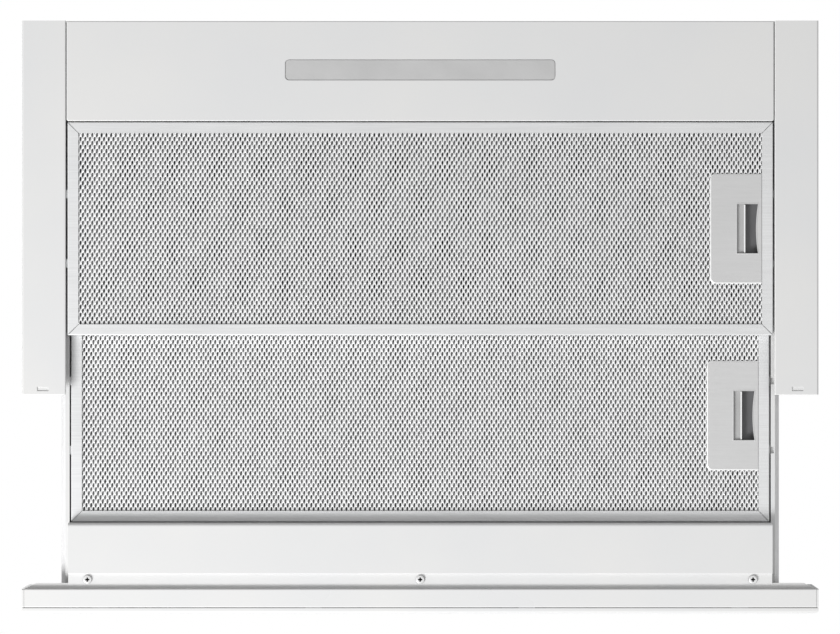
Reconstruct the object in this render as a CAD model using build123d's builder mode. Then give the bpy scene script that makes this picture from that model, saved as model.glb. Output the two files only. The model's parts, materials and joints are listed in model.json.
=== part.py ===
"""Telescopic range hood for a 60 cm wall cabinet, drawn with its drawer pulled out.

Millimetres.  +Z is up and -Y points at the cook.  The origin is the middle of the
object's lowest plane.  "Left" is -X and "right" is +X, as seen by the cook.
Places from rear to front are given as a depth: the distance in front of the rear edge.
"""
import os

from build123d import *

# Overall size
WIDTH = 598.0
DEPTH_OPEN = 445.0
BODY_DEPTH = 281.0
BODY_HEIGHT = 175.0
COLLAR_TOP = 200.0
HALF_WIDTH = WIDTH / 2

# Sheet thicknesses
SHEET = 1.0
THIN_SHEET = 0.8

# Radii of rounded edges and lengths of bevels
TRIM_OUTER_R = 1.5
TRIM_HEM_R = 0.8
TRIM_FRONT_R = 0.75
LAMP_PANEL_R = 1.5
LIGHT_BOX_R = 2.5
DRIVER_R = (2.0, 1.0)
FRONT_PANEL_R = 2.2
SCREW_HEAD_R = 1.0
BEZEL_R = 1.8
BEZEL_HOLE_R = 2.0
BUTTON_R = (1.0, 0.5)
SWITCH_R = 1.0
FRAME_R = (1.0, 0.9)
PRONG_BEVEL = 0.5
SHAFT_BEVEL = 0.6
MOTOR_EDGE_R = 3.0
CAPACITOR_EDGE_R = 1.5
TERMINAL_BOX_R = 3.0
GLAND_EDGE_R = 3.0
PLUNGER_TIP_R = 0.6

# Fixed housing, which stands between the sides of a 60 cm cabinet
HOUSING_OUT = 278.8
HOUSING_IN = HOUSING_OUT - SHEET
FRONT_WALL_DEPTH = 280.4
DRAWER_BAY_TOP = 48.0
CABINET_SCREW_DEPTHS = (60.0, 220.0)
CABINET_SCREW_HEIGHT = 120.0
CABINET_SCREW_HOLE_R = 2.5

# Side trims, which cover the lower edges of the cabinet's sides
TRIM_IN = 266.1
TRIM_HEIGHT = 14.0
HEM_HEIGHT = 1.8
TRIM_MARK = (8.6, 3.2)
TRIM_MARK_X = 283.3
TRIM_MARK_DEPTH = 276.5
TRIM_MARK_RECESS = 0.7

# Lamp panel and light box
LAMP_PANEL_HALF = 265.5
LAMP_PANEL_DEPTHS = (0.4, 75.4)
LAMP_PANEL_HEIGHT = 8.0
HOOK_X = 150.0
HOOK_SIZE = (20.0, 14.0)
LENS_SIZE = (202.0, 14.7)
LENS_CORNER_R = 3.0
LENS_DEPTH = 37.05
LENS_BASE = (210.0, 22.0)
LENS_BASE_TOP = 2.4
LENS_GAP = 1.0
LIGHT_BOX_SIZE = (224.0, 30.0)
LIGHT_BOX_TOP = 16.0
LIGHT_BOX_WALL = 1.2
BOARD_SIZE = (208.0, 18.0, 1.6)
LED_SIZE = (2.8, 3.5, 0.9)
LED_COUNT = 16
LED_PITCH = 12.6
DRIVER_SIZE = (66.0, 26.0, 19.0)
DRIVER_PLACE = (182.0, 25.0)

# Ball-bearing slides
SLIDE_LENGTH = 240.0
SLIDE_OUTER_DEPTH = 38.0
SLIDE_INNER_DEPTH = 185.0
SLIDE_OUTER_X = (268.6, HOUSING_IN)
SLIDE_OUTER_Z = (11.0, 38.0)
SLIDE_INNER_X = (267.3, 270.9)
SLIDE_INNER_Z = (16.0, 33.0)
CAGE_LENGTH = 80.0
CAGE_DEPTH = 229.0
CAGE_X = (268.9, 272.6)
CAGE_STRIP = 0.6
BALL_R = 1.85
BALL_X = 269.75
BALL_Z = (14.0, 35.0)
BALL_PITCH = 16.0
BALL_COUNT = 5
SLIDE_SCREW_DEPTHS = (60.0, 150.0, 250.0)
SLIDE_SCREW_R = 2.0
SLIDE_SCREW_HOLE_R = 2.05
SLIDE_SCREW_HEAD = (3.2, 1.4)

# Drawer
DRAWER_OUT = 267.3
DRAWER_REAR_DEPTH = 180.0
STRIP_IN = 264.2
STRIP_Z = (10.2, 11.0)
DRAWER_TOP = 39.0
DRAWER_FLANGE_IN = 255.0
COVER_REAR_DEPTH = 213.0
COVER_FRONT_DEPTH = 424.0
COVER_REAR_FLANGE_Z = 28.0
STRIKE_NOTCH = (2.2, 5.0)
STRIKE_ROOF = (9.0, 13.0)
TRAY_HALF = 264.5
TRAY_DEPTHS = (377.3, 415.2)
TRAY_BOTTOM = 0.5
TRAY_REAR_R = 2.5
LEDGE_Z = (3.2, 4.0)
LEDGE_FRONT_DEPTH = 423.0
FACIA_SCREW_X = (-250.0, 0.0, 250.0)
FACIA_SCREW_DEPTH = 419.7
FACIA_SCREW_R = 2.0
FACIA_SCREW_HOLE_R = 2.1
FACIA_SCREW_HEAD = (3.25, 1.6)
FACIA_SCREW_TIP_Z = 11.0
CROSS_RECESS = (3.2, 1.2, 2.4)

# Facia, the drawer's front
FACIA_DEPTHS = (426.6, 440.6)
FACIA_HEIGHT = 46.0
END_CAP = 1.5
END_CAP_SEAM = 0.2
FACIA_FLANGE_Z = (4.0, 4.8)
FLANGE_TIP_DEPTH = 422.4
FLANGE_TIP_HALF = 288.5
FLANGE_TONGUE_HALF = 263.0
FLANGE_TONGUE_DEPTH = 415.6
FRONT_PANEL_DEPTH = 441.0
CLIP_X = (-240.0, -80.0, 80.0, 240.0)
CLIP_SIZE = (12.0, 4.0)
CLIP_REACH = 2.0

# Controls
BUTTON_NAMES = ("off", "speed_1", "speed_2", "speed_3", "light")
BUTTON_SIZE = (13.0, 9.0)
BUTTON_PITCH = 18.0
BUTTONS_X = 215.0
BUTTONS_Z = 24.0
BUTTON_GAP = 0.3
BEZEL_SIZE = (98.0, 16.0)
BEZEL_RIM = 3.0
BEZEL_DEPTHS = (442.6, 444.4)
SWITCH_BLOCK_SIZE = (94.0, 18.0)
SWITCH_BLOCK_DEPTH = 434.8

# Grease filters: two cassettes of the same build, the front one on the drawer
FILTER_LENGTH = 160.0
FILTER_THICK = 8.0
FILTER_SHEET = 0.7
MESH_THICK = 0.5
BACK_MESH_THICK = 0.8
REAR_FILTER = {
    "half": 264.8, "depth": 76.2, "z": 0.6, "tab": 5.0, "prong": 0.9,
}
FRONT_FILTER = {
    "half": 263.1, "depth": 216.8, "z": 9.8, "tab": 3.0, "prong": 0.8,
}
FRAME_BORDER = 8.2
MITRE_GROOVE = (0.4, 0.8)
TAB_FIT = 0.3

# Filter latch, measured from the frame's inner edge towards the filter's middle (u),
# from the filter's centre line (v) and up from the filter's underside (w)
TAB_V = 26.0
TAB_WIDTH = 6.4
TAB_W = (1.5, 2.5)
PLATE_U = (0.3, 39.0)
PLATE_WIDTH = 82.4
PLATE_BEVEL = (0.9, 0.4)
PLATE_W = (0.1, 0.7)
PLATE_CORNER_R = 4.0
WINDOW_U = (3.0, 18.8)
WINDOW_HALF = 18.5
WINDOW_BOW = 1.5
WINDOW_BEAD = (0.7, 0.2)
WELL_WALL = 0.8
WELL_END_U = 30.0
WELL_TOP_W = 6.4
WELL_NOTCH_U = 9.0
WELL_NOTCH_W = 3.0
MESH_CUT_U = (2.2, 37.9)
MESH_CUT_HALF = 20.0
SLIDER_U = (12.5, 24.0)
FINGER_LIP = (1.0, 18.0, 5.2)
SLIDER_RIB_W = 0.7
SPRING_U = (29.2, 35.5)
SPRING_POST_U = (36.0, 37.5)
SPRING_POST_HALF = 2.0
SPRING_R = 1.4
SPRING_WIRE_R = 0.3
SPRING_PITCH = 1.1
SPRING_W = 3.4

# Blower
BLOWER_DEPTH = 144.0
BLOWER_Z = 104.0
VOLUTE_HALF = 55.0
VOLUTE_WALL = 1.6
SCROLL_STEP = 5.0
SCROLL_R = 53.0
THROAT_IN = 3.0
INLET_R = 37.0
INLET_LIP_X = 50.0
VOLUTE_FLANGE = (7.0, 2.0)
IMPELLER_R = 44.0
BLADE_DEPTH = 8.0
BLADE_THICK = 0.8
BLADE_COUNT = 36
BLADE_ANGLE = 35.0
IMPELLER_HALF = 48.0
RING_WIDTH = 2.0
HUB_R = 9.0
SHAFT_R = 4.0
SHAFT_CLEARANCE = 0.05
MOTOR_R = 30.0
MOTOR_X = (6.0, 48.0)
MOTOR_BORE_END = 30.0

# Outlet
OUTLET_DEPTH = 110.0
COLLAR_R = 60.0
COLLAR_WALL = 1.5
COLLAR_FLANGE_R = 72.0
COLLAR_FLANGE = 1.5
TOP_HOLE_R = 59.0
LEDGE_RING_Z = (177.5, 179.0)
FLAP_R = 57.3
FLAP_Z = (179.3, 180.3)
FLAP_PIN_Z = 182.3
FLAP_PIN_R = 1.5
KNUCKLE_R = 2.8
KNUCKLE_LENGTH = 14.0
KNUCKLE_X = (-36.0, -12.0, 12.0, 36.0)

# Electrical parts
CAPACITOR_R = 15.0
CAPACITOR_LENGTH = 55.0
CAPACITOR_PLACE = (137.0, 130.0)
TERMINAL_BOX_SIZE = (80.0, 40.0, 40.0)
TERMINAL_BOX_X = -160.0
TERMINAL_BOX_Z = (120.0, 160.0)
GLAND_DEPTH = 22.0
GLAND_R = 8.0
GLAND_BORE_R = 4.0
SWITCH_X = (-240.0, -220.0)
SWITCH_DEPTHS = (52.0, 68.0)
SWITCH_Z = (26.0, 36.0)
PLUNGER_R = 1.5
PLUNGER_DEPTHS = (63.0, 72.4)


def rear_to_front(depth):
    """The y of a plane that is this far in front of the object's rear edge."""
    return DEPTH_OPEN / 2 - depth


def around(centre, size, grow=0.0):
    """The limits of a span of this size about its centre, grown on both sides."""
    return (centre - size / 2 - grow, centre + size / 2 + grow)


def block(xs, depths, zs, mode=Mode.ADD):
    """Add or cut one rectangular block, given as its limits in x, depth and z."""
    near, far = rear_to_front(depths[0]), rear_to_front(depths[1])
    with Locations(((xs[0] + xs[1]) / 2, (near + far) / 2, (zs[0] + zs[1]) / 2)):
        Box(abs(xs[1] - xs[0]), abs(far - near), abs(zs[1] - zs[0]), mode=mode)


def rod_along_x(radius, xs, depth, z, mode=Mode.ADD):
    """Add or cut one round rod whose axis is along X."""
    with Locations(((xs[0] + xs[1]) / 2, rear_to_front(depth), z)):
        Cylinder(radius, abs(xs[1] - xs[0]), rotation=(0, 90, 0), mode=mode)


def rod_along_z(radius, place, zs, mode=Mode.ADD):
    """Add or cut one upright round rod at an (x, depth) place."""
    with Locations((place[0], rear_to_front(place[1]), (zs[0] + zs[1]) / 2)):
        Cylinder(radius, abs(zs[1] - zs[0]), mode=mode)


def save(piece, name):
    """Label a finished piece and write its STEP file."""
    piece.part.label = name
    export_step(piece.part, f"parts/{name}.step")


# ---------------------------------------------------------------- fixed housing


def side_trim(side):
    """A shallow channel that hides the cabinet's lower edge, with a low hem on its inner side."""
    inner, outer = side * TRIM_IN, side * HALF_WIDTH
    with BuildPart() as trim:
        block((inner, outer), (0, BODY_DEPTH), (0, TRIM_HEIGHT))
        long_edges = trim.edges().filter_by(Axis.Y).group_by(Axis.Z)[0].sort_by(Axis.X)
        if side > 0:
            hem_edge, outer_edge = long_edges[0], long_edges[-1]
        else:
            hem_edge, outer_edge = long_edges[-1], long_edges[0]
        fillet(outer_edge, radius=TRIM_OUTER_R)
        fillet(hem_edge, radius=TRIM_HEM_R)
        front_edges = trim.edges().filter_by(Axis.X).group_by(Axis.Y)[0]
        fillet(front_edges.sort_by(Axis.Z)[0], radius=TRIM_FRONT_R)
        inside = (side * (TRIM_IN + SHEET), side * (HALF_WIDTH - SHEET))
        block(inside, (-SHEET, BODY_DEPTH - SHEET), (SHEET, TRIM_HEIGHT), Mode.SUBTRACT)
        over_hem = (side * (TRIM_IN - SHEET), side * HOUSING_OUT)
        block(over_hem, (-SHEET, BODY_DEPTH + SHEET), (HEM_HEIGHT, TRIM_HEIGHT), Mode.SUBTRACT)
        seat = (side * HOUSING_OUT, side * (HALF_WIDTH - SHEET))
        block(seat, (0, BODY_DEPTH - SHEET), (TRIM_HEIGHT - SHEET, TRIM_HEIGHT))
        mark_x = around(side * TRIM_MARK_X, TRIM_MARK[0])
        mark_depths = around(TRIM_MARK_DEPTH, TRIM_MARK[1])
        block(mark_x, mark_depths, (-SHEET, TRIM_MARK_RECESS), Mode.SUBTRACT)
    return trim


def housing_side(side):
    """A flat side wall with two holes for the screws into the cabinet."""
    with BuildPart() as wall:
        xs = (side * HOUSING_IN, side * HOUSING_OUT)
        block(xs, (0, FRONT_WALL_DEPTH), (SHEET, BODY_HEIGHT))
        for depth in CABINET_SCREW_DEPTHS:
            rod_along_x(CABINET_SCREW_HOLE_R, xs, depth, CABINET_SCREW_HEIGHT, Mode.SUBTRACT)
    return wall


def housing_rear_wall():
    """The flat wall that stands against the kitchen wall."""
    with BuildPart() as wall:
        block((-HOUSING_IN, HOUSING_IN), (0, SHEET), (LAMP_PANEL_HEIGHT, BODY_HEIGHT - SHEET))
    return wall


def housing_top():
    """The roof, open under the outlet collar and at the cable gland."""
    with BuildPart() as roof:
        zs = (BODY_HEIGHT - SHEET, BODY_HEIGHT)
        block((-HOUSING_IN, HOUSING_IN), (0, FRONT_WALL_DEPTH), zs)
        rod_along_z(TOP_HOLE_R, (0, OUTLET_DEPTH), zs, Mode.SUBTRACT)
        rod_along_z(GLAND_R + 0.2, (TERMINAL_BOX_X, GLAND_DEPTH), zs, Mode.SUBTRACT)
    return roof


def housing_front_wall():
    """The wall over the drawer bay, folded inwards along its lower edge."""
    fold = 9.0
    with BuildPart() as wall:
        inner = FRONT_WALL_DEPTH - SHEET
        xs = (-HOUSING_IN, HOUSING_IN)
        block(xs, (inner, FRONT_WALL_DEPTH), (DRAWER_BAY_TOP, BODY_HEIGHT - SHEET))
        block(xs, (inner - fold, inner), (DRAWER_BAY_TOP, DRAWER_BAY_TOP + SHEET))
    return wall


# ---------------------------------------------------------------- lamp


def lamp_panel():
    """A shallow pan with the lens window, folded up along all four edges, with two rear hooks."""
    xs = (-LAMP_PANEL_HALF, LAMP_PANEL_HALF)
    with BuildPart() as panel:
        block(xs, LAMP_PANEL_DEPTHS, (0, LAMP_PANEL_HEIGHT))
        fillet(panel.edges().filter_by(Axis.Z).group_by(Axis.Y)[0], radius=LAMP_PANEL_R)
        fillet(panel.faces().sort_by(Axis.Z)[0].edges(), radius=THIN_SHEET)
        inside = (xs[0] + THIN_SHEET, xs[1] - THIN_SHEET)
        depths = (LAMP_PANEL_DEPTHS[0] + THIN_SHEET, LAMP_PANEL_DEPTHS[1] - THIN_SHEET)
        block(inside, depths, (THIN_SHEET, LAMP_PANEL_HEIGHT), Mode.SUBTRACT)
        for x in (-HOOK_X, HOOK_X):
            hook = (LAMP_PANEL_HEIGHT / 2, HOOK_SIZE[1])
            block(around(x, HOOK_SIZE[0]), (SHEET, SHEET + THIN_SHEET), hook)
        with BuildSketch(Plane.XY):
            with Locations((0, rear_to_front(LENS_DEPTH))):
                RectangleRounded(LENS_SIZE[0] + LENS_GAP, LENS_SIZE[1] + LENS_GAP, LENS_CORNER_R)
        extrude(amount=THIN_SHEET, mode=Mode.SUBTRACT)
    return panel


def lamp_lens():
    """A diffuser that fills the window, on a wider base behind the panel."""
    recess = 0.2
    with BuildPart() as lens:
        with BuildSketch(Plane.XY.offset(recess)):
            with Locations((0, rear_to_front(LENS_DEPTH))):
                RectangleRounded(*LENS_SIZE, LENS_CORNER_R)
        extrude(amount=THIN_SHEET - recess)
        with BuildSketch(Plane.XY.offset(THIN_SHEET)):
            with Locations((0, rear_to_front(LENS_DEPTH))):
                RectangleRounded(*LENS_BASE, LENS_CORNER_R)
        extrude(amount=LENS_BASE_TOP - THIN_SHEET)
    return lens


def light_box():
    """A tray turned upside down over the lens, with a foot at each end."""
    half, reach = LIGHT_BOX_SIZE[0] / 2, LIGHT_BOX_SIZE[1] / 2
    foot = 12.0
    with BuildPart() as tray:
        block((-half, half), (LENS_DEPTH - reach, LENS_DEPTH + reach), (THIN_SHEET, LIGHT_BOX_TOP))
        fillet(tray.edges().filter_by(Axis.Z), radius=LIGHT_BOX_R)
        inside = (-half + LIGHT_BOX_WALL, half - LIGHT_BOX_WALL)
        depths = (LENS_DEPTH - reach + LIGHT_BOX_WALL, LENS_DEPTH + reach - LIGHT_BOX_WALL)
        block(inside, depths, (THIN_SHEET, LIGHT_BOX_TOP - LIGHT_BOX_WALL), Mode.SUBTRACT)
        for side in (-1, 1):
            xs = (side * half, side * (half + foot))
            block(xs, (LENS_DEPTH - foot / 2, LENS_DEPTH + foot / 2), (THIN_SHEET, THIN_SHEET + SHEET))
    return tray


def lamp_circuit_board():
    """The board under the light box's roof, with its row of light-emitting diodes."""
    top = LIGHT_BOX_TOP - LIGHT_BOX_WALL
    with BuildPart() as board:
        depths = (LENS_DEPTH - BOARD_SIZE[1] / 2, LENS_DEPTH + BOARD_SIZE[1] / 2)
        block((-BOARD_SIZE[0] / 2, BOARD_SIZE[0] / 2), depths, (top - BOARD_SIZE[2], top))
        with Locations((0, rear_to_front(LENS_DEPTH), top - BOARD_SIZE[2] - LED_SIZE[2] / 2)):
            with GridLocations(LED_PITCH, 1, LED_COUNT, 1):
                Box(*LED_SIZE)
    return board


def lamp_driver():
    """The lamp's power supply, a small box that lies on the lamp panel."""
    x, depth = DRIVER_PLACE
    xs = (x - DRIVER_SIZE[0] / 2, x + DRIVER_SIZE[0] / 2)
    depths = (depth - DRIVER_SIZE[1] / 2, depth + DRIVER_SIZE[1] / 2)
    with BuildPart() as driver:
        block(xs, depths, (THIN_SHEET, THIN_SHEET + DRIVER_SIZE[2]))
        fillet(driver.edges().filter_by(Axis.Z), radius=DRIVER_R[0])
        fillet(driver.faces().sort_by(Axis.Z)[-1].edges(), radius=DRIVER_R[1])
        ear = 7.0
        block((xs[0] - ear, xs[1] + ear), (depth - ear, depth + ear), (THIN_SHEET, 2 * THIN_SHEET))
    return driver


# ---------------------------------------------------------------- slides


def slide_outer(side):
    """The fixed channel of a ball slide, open towards the drawer."""
    lip, back = SLIDE_OUTER_X
    low, high = SLIDE_OUTER_Z
    depths = (SLIDE_OUTER_DEPTH, SLIDE_OUTER_DEPTH + SLIDE_LENGTH)
    with BuildPart() as channel:
        block((side * lip, side * back), depths, (low, high))
        block((side * lip, side * (back - SHEET)), depths, (low + SHEET, high - SHEET), Mode.SUBTRACT)
        for depth in SLIDE_SCREW_DEPTHS:
            wall = (side * (back - SHEET), side * back)
            rod_along_x(SLIDE_SCREW_HOLE_R, wall, depth, (low + high) / 2, Mode.SUBTRACT)
    return channel


def slide_inner(side):
    """The moving channel of a ball slide, fixed to the drawer's side."""
    back, lip = SLIDE_INNER_X
    low, high = SLIDE_INNER_Z
    depths = (SLIDE_INNER_DEPTH, SLIDE_INNER_DEPTH + SLIDE_LENGTH)
    with BuildPart() as channel:
        block((side * back, side * lip), depths, (low, high))
        block((side * (back + SHEET), side * lip), depths, (low + SHEET, high - SHEET), Mode.SUBTRACT)
    return channel


def ball_cage(side):
    """The strip that spaces the balls between the two channels of a slide."""
    depths = (CAGE_DEPTH - CAGE_LENGTH / 2, CAGE_DEPTH + CAGE_LENGTH / 2)
    with BuildPart() as cage:
        back = (side * (CAGE_X[1] - CAGE_STRIP), side * CAGE_X[1])
        block(back, depths, (BALL_Z[0] - CAGE_STRIP / 2, BALL_Z[1] + CAGE_STRIP / 2))
        for z in BALL_Z:
            xs = (side * CAGE_X[0], side * CAGE_X[1])
            block(xs, depths, (z - CAGE_STRIP / 2, z + CAGE_STRIP / 2))
            with Locations((side * BALL_X, rear_to_front(CAGE_DEPTH), z)):
                with GridLocations(1, BALL_PITCH, 1, BALL_COUNT):
                    Sphere(BALL_R, rotation=(90, 0, 0))
    return cage


def slide_screws():
    """The pan-head screws that hold both fixed channels to the housing."""
    back = SLIDE_OUTER_X[1]
    z = sum(SLIDE_OUTER_Z) / 2
    head_r, head_height = SLIDE_SCREW_HEAD
    with BuildPart() as screws:
        for side in (-1, 1):
            for depth in SLIDE_SCREW_DEPTHS:
                seat = back - SHEET
                rod_along_x(head_r, (side * (seat - head_height), side * seat), depth, z)
                rod_along_x(SLIDE_SCREW_R, (side * seat, side * back), depth, z)
    return screws


# ---------------------------------------------------------------- drawer


def drawer_side(side):
    """A drawer wall with a strip folded in under the filter's edge and a flange under the cover."""
    wall = (side * (DRAWER_OUT - THIN_SHEET), side * DRAWER_OUT)
    inner_face = side * (DRAWER_OUT - THIN_SHEET)
    depths = (DRAWER_REAR_DEPTH, FACIA_DEPTHS[0])
    with BuildPart() as panel:
        block(wall, depths, (STRIP_Z[0], DRAWER_TOP))
        block((side * STRIP_IN, inner_face), depths, STRIP_Z)
        flange_depths = (COVER_REAR_DEPTH + SHEET, FACIA_DEPTHS[0])
        flange = (side * DRAWER_FLANGE_IN, inner_face)
        block(flange, flange_depths, (DRAWER_TOP - THIN_SHEET, DRAWER_TOP))
        if side < 0:
            centre = FRONT_FILTER["depth"] + FILTER_LENGTH / 2
            for offset in (-TAB_V, TAB_V):
                notch = (side * STRIP_IN, side * (STRIP_IN + STRIKE_NOTCH[0]))
                block(notch, around(centre + offset, STRIKE_NOTCH[1]), STRIP_Z, Mode.SUBTRACT)
                roof_width, roof_z = STRIKE_ROOF
                roof = (side * STRIP_IN, inner_face)
                block(roof, around(centre + offset, roof_width), (roof_z, roof_z + THIN_SHEET))
    return panel


def drawer_cover():
    """The drawer's roof, folded down at its rear edge."""
    xs = (-DRAWER_OUT, DRAWER_OUT)
    with BuildPart() as cover:
        zs = (DRAWER_TOP, DRAWER_TOP + THIN_SHEET)
        block(xs, (COVER_REAR_DEPTH, COVER_FRONT_DEPTH), zs)
        inner = (-DRAWER_OUT + 2 * THIN_SHEET, DRAWER_OUT - 2 * THIN_SHEET)
        rear_fold = (COVER_REAR_DEPTH, COVER_REAR_DEPTH + SHEET)
        block(inner, rear_fold, (COVER_REAR_FLANGE_Z, DRAWER_TOP))
    return cover


def drawer_front_tray():
    """The pan in front of the filter, with a raised ledge that the facia is screwed to."""
    xs = (-TRAY_HALF, TRAY_HALF)
    rear, front = TRAY_DEPTHS
    top = STRIP_Z[0]
    with BuildPart() as tray:
        block(xs, TRAY_DEPTHS, (TRAY_BOTTOM, top))
        inside = (xs[0] + THIN_SHEET, xs[1] - THIN_SHEET)
        depths = (rear + THIN_SHEET, front - THIN_SHEET)
        block(inside, depths, (TRAY_BOTTOM + THIN_SHEET, top), Mode.SUBTRACT)
        lengthwise = tray.edges().filter_by(Axis.X).group_by(Axis.Z)
        fillet(lengthwise[1].sort_by(Axis.Y)[-1], radius=TRAY_REAR_R - THIN_SHEET)
        fillet(lengthwise[0].sort_by(Axis.Y)[-1], radius=TRAY_REAR_R)
        fillet(lengthwise[0].sort_by(Axis.Y)[0], radius=THIN_SHEET / 2)
        above_ledge = (front - 2 * THIN_SHEET, front + SHEET)
        block(xs, above_ledge, (LEDGE_Z[1], top), Mode.SUBTRACT)
        block(xs, (front, LEDGE_FRONT_DEPTH), LEDGE_Z)
        for x in FACIA_SCREW_X:
            rod_along_z(FACIA_SCREW_HOLE_R, (x, FACIA_SCREW_DEPTH), LEDGE_Z, Mode.SUBTRACT)
    return tray


# ---------------------------------------------------------------- facia


def facia_box():
    """A folded channel with a tapered flange and a tongue that reaches over the tray's ledge."""
    half = HALF_WIDTH - END_CAP - END_CAP_SEAM
    rear, front = FACIA_DEPTHS
    xs = (-half, half)
    front_hem = 5.0
    with BuildPart() as box:
        block(xs, FACIA_DEPTHS, (0, FACIA_HEIGHT))
        fillet(box.edges().filter_by(Axis.X), radius=SHEET)
        block(xs, (rear + SHEET, front + SHEET), (SHEET, FACIA_HEIGHT - SHEET), Mode.SUBTRACT)
        for low in (SHEET, FACIA_HEIGHT - front_hem):
            block(xs, (front - SHEET, front), (low, low + front_hem - SHEET))
        with BuildSketch(Plane.XY.offset(FACIA_FLANGE_Z[0])):
            with BuildLine():
                root, tip = rear_to_front(rear), rear_to_front(FLANGE_TIP_DEPTH)
                tongue = rear_to_front(FLANGE_TONGUE_DEPTH)
                Polyline(
                    (half, root), (FLANGE_TIP_HALF, tip), (FLANGE_TONGUE_HALF, tip),
                    (FLANGE_TONGUE_HALF, tongue), (-FLANGE_TONGUE_HALF, tongue),
                    (-FLANGE_TONGUE_HALF, tip), (-FLANGE_TIP_HALF, tip), (-half, root), close=True,
                )
            make_face()
        extrude(amount=FACIA_FLANGE_Z[1] - FACIA_FLANGE_Z[0])
        for x in FACIA_SCREW_X:
            rod_along_z(FACIA_SCREW_HOLE_R, (x, FACIA_SCREW_DEPTH), FACIA_FLANGE_Z, Mode.SUBTRACT)
    return box


def facia_end_caps():
    """Two caps, each with a plug that fits the end of the facia's channel."""
    half = HALF_WIDTH - END_CAP
    rear, front = FACIA_DEPTHS
    plug_length = 8.0
    plug_wall = 1.5
    fit = 0.2
    with BuildPart() as caps:
        for side in (-1, 1):
            block((side * half, side * HALF_WIDTH), FACIA_DEPTHS, (0, FACIA_HEIGHT))
        fillet(caps.edges().filter_by(Axis.X), radius=SHEET)
        for side in (-1, 1):
            plug = (side * (half - plug_length), side * half)
            outer = (rear + SHEET + fit, front - SHEET - fit)
            heights = (SHEET + fit, FACIA_HEIGHT - SHEET - fit)
            block(plug, outer, heights)
            inner = (outer[0] + plug_wall, outer[1] - plug_wall)
            hollow = (heights[0] + plug_wall, heights[1] - plug_wall)
            block(plug, inner, hollow, Mode.SUBTRACT)
    return caps


def facia_front_panel():
    """The shallow front pan with the opening for the controls and four rear clips."""
    xs = (-HALF_WIDTH, HALF_WIDTH)
    with BuildPart() as panel:
        block(xs, (FRONT_PANEL_DEPTH, DEPTH_OPEN), (0, FACIA_HEIGHT))
        fillet(panel.faces().sort_by(Axis.Y)[0].edges(), radius=FRONT_PANEL_R)
        inside = (xs[0] + SHEET, xs[1] - SHEET)
        heights = (SHEET, FACIA_HEIGHT - SHEET)
        block(inside, (FRONT_PANEL_DEPTH, DEPTH_OPEN - SHEET), heights, Mode.SUBTRACT)
        clip_width, clip_height = CLIP_SIZE
        for x in CLIP_X:
            for z in (SHEET, FACIA_HEIGHT - SHEET - clip_height):
                clip_depths = (FACIA_DEPTHS[1], FRONT_PANEL_DEPTH + CLIP_REACH)
                block(around(x, clip_width), clip_depths, (z, z + clip_height))
        face = Plane((BUTTONS_X, -DEPTH_OPEN / 2, BUTTONS_Z), x_dir=(1, 0, 0), z_dir=(0, -1, 0))
        with BuildSketch(face):
            RectangleRounded(BEZEL_SIZE[0] + BUTTON_GAP, BEZEL_SIZE[1] + BUTTON_GAP, BEZEL_HOLE_R)
        extrude(amount=-SHEET, mode=Mode.SUBTRACT)
    return panel


def facia_screws():
    """Pan-head screws with a cross recess, driven up through the ledge and the flange."""
    head_r, head_height = FACIA_SCREW_HEAD
    recess_length, recess_width, recess_deep = CROSS_RECESS
    with BuildPart() as screws:
        for x in FACIA_SCREW_X:
            place = (x, FACIA_SCREW_DEPTH)
            rod_along_z(head_r, place, (LEDGE_Z[0] - head_height, LEDGE_Z[0]))
            rod_along_z(FACIA_SCREW_R, place, (LEDGE_Z[0], FACIA_SCREW_TIP_Z))
        fillet(screws.faces().group_by(Axis.Z)[0].edges(), radius=SCREW_HEAD_R)
        for x in FACIA_SCREW_X:
            recess_z = LEDGE_Z[0] - head_height + recess_deep / 2
            with Locations((x, rear_to_front(FACIA_SCREW_DEPTH), recess_z)):
                Box(recess_length, recess_width, recess_deep, mode=Mode.SUBTRACT)
                Box(recess_width, recess_length, recess_deep, mode=Mode.SUBTRACT)
    return screws


# ---------------------------------------------------------------- controls


def button_x(index):
    """The middle of one push-button, counted from the left."""
    return BUTTONS_X + (index - (len(BUTTON_NAMES) - 1) / 2) * BUTTON_PITCH


def control_bezel():
    """The plate around the buttons: a rim behind the front panel and a face that fills its opening."""
    with BuildPart() as bezel:
        rear, front = BEZEL_DEPTHS
        rim_front = DEPTH_OPEN - SHEET
        rim_z = around(BUTTONS_Z, BEZEL_SIZE[1], BEZEL_RIM)
        block(around(BUTTONS_X, BEZEL_SIZE[0], BEZEL_RIM), (rear, rim_front), rim_z)
        block(around(BUTTONS_X, BEZEL_SIZE[0]), (rim_front, front), around(BUTTONS_Z, BEZEL_SIZE[1]))
        fillet(bezel.edges().filter_by(Axis.Y), radius=BEZEL_R)
        for index in range(len(BUTTON_NAMES)):
            hole_x = around(button_x(index), BUTTON_SIZE[0], BUTTON_GAP)
            block(hole_x, (rear, front), around(BUTTONS_Z, BUTTON_SIZE[1], BUTTON_GAP), Mode.SUBTRACT)
    return bezel


def push_button(index):
    """A cap with soft edges, a flange that keeps it behind the bezel, and a stem."""
    x = button_x(index)
    flange_depths = (440.9, 442.1)
    stem = 4.0
    stem_end = 437.5
    with BuildPart() as button:
        cap_z = around(BUTTONS_Z, BUTTON_SIZE[1])
        block(around(x, BUTTON_SIZE[0]), (flange_depths[1], DEPTH_OPEN), cap_z)
        fillet(button.edges().filter_by(Axis.Y), radius=BUTTON_R[0])
        fillet(button.faces().sort_by(Axis.Y)[0].edges(), radius=BUTTON_R[1])
        block(around(x, BUTTON_SIZE[0], 1.0), flange_depths, around(BUTTONS_Z, BUTTON_SIZE[1], 1.0))
        block(around(x, stem), (stem_end, flange_depths[0]), around(BUTTONS_Z, stem))
    return button


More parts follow.
